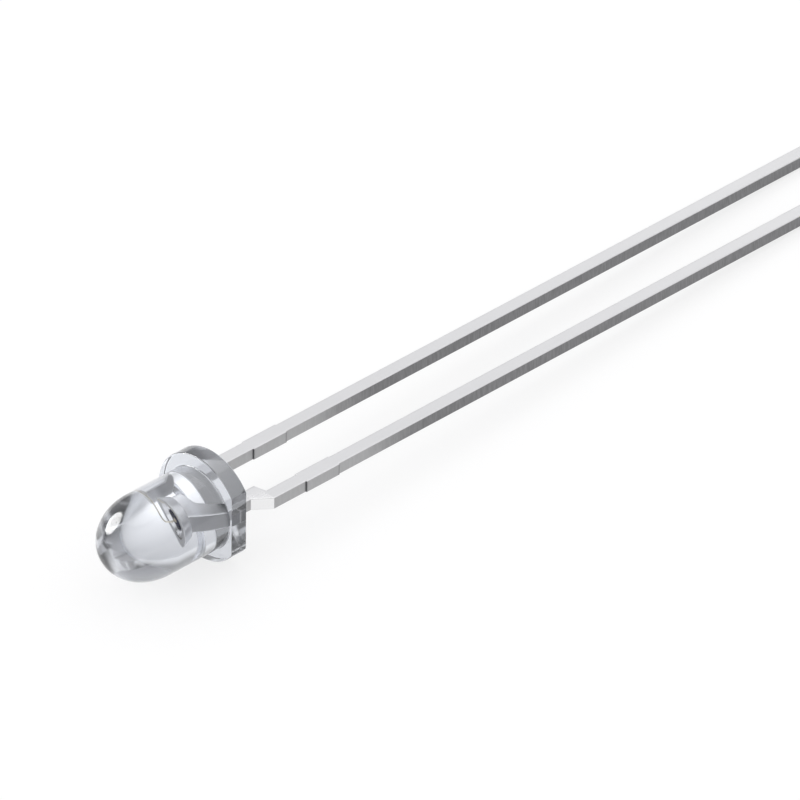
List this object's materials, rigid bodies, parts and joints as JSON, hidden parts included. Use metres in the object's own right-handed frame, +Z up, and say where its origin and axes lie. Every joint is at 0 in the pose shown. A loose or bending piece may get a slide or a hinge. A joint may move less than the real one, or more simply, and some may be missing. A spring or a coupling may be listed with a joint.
{
  "type": "through hole led",
  "caption": "Clear round light emitting diode with a domed lens, a flange with a flat and straight leads.",
  "frame": {"origin": "on the surface it lies on, under the middle of its outline", "axes": "+X along the lens axis towards the dome (about 3.4 degrees up from level), +Y towards the cathode lead and the flat, +Z up from the surface it lies on"},
  "size_m": [0.0348, 0.0036, 0.0039],
  "materials": {
    "clear_epoxy": "polished clear moulded epoxy",
    "tinned_steel": "satin tin plate",
    "silver_paste": "cured silver paste",
    "chip": "dark sawn crystal",
    "gold": "bright gold"
  },
  "bodies": {
    "root": {"lens_body": "clear_epoxy", "cathode_lead": "tinned_steel", "anode_lead": "tinned_steel", "die_attach": "silver_paste", "led_chip": "chip", "bond_pad": "gold", "bond_wire": "gold"}
  },
  "joints": []
}
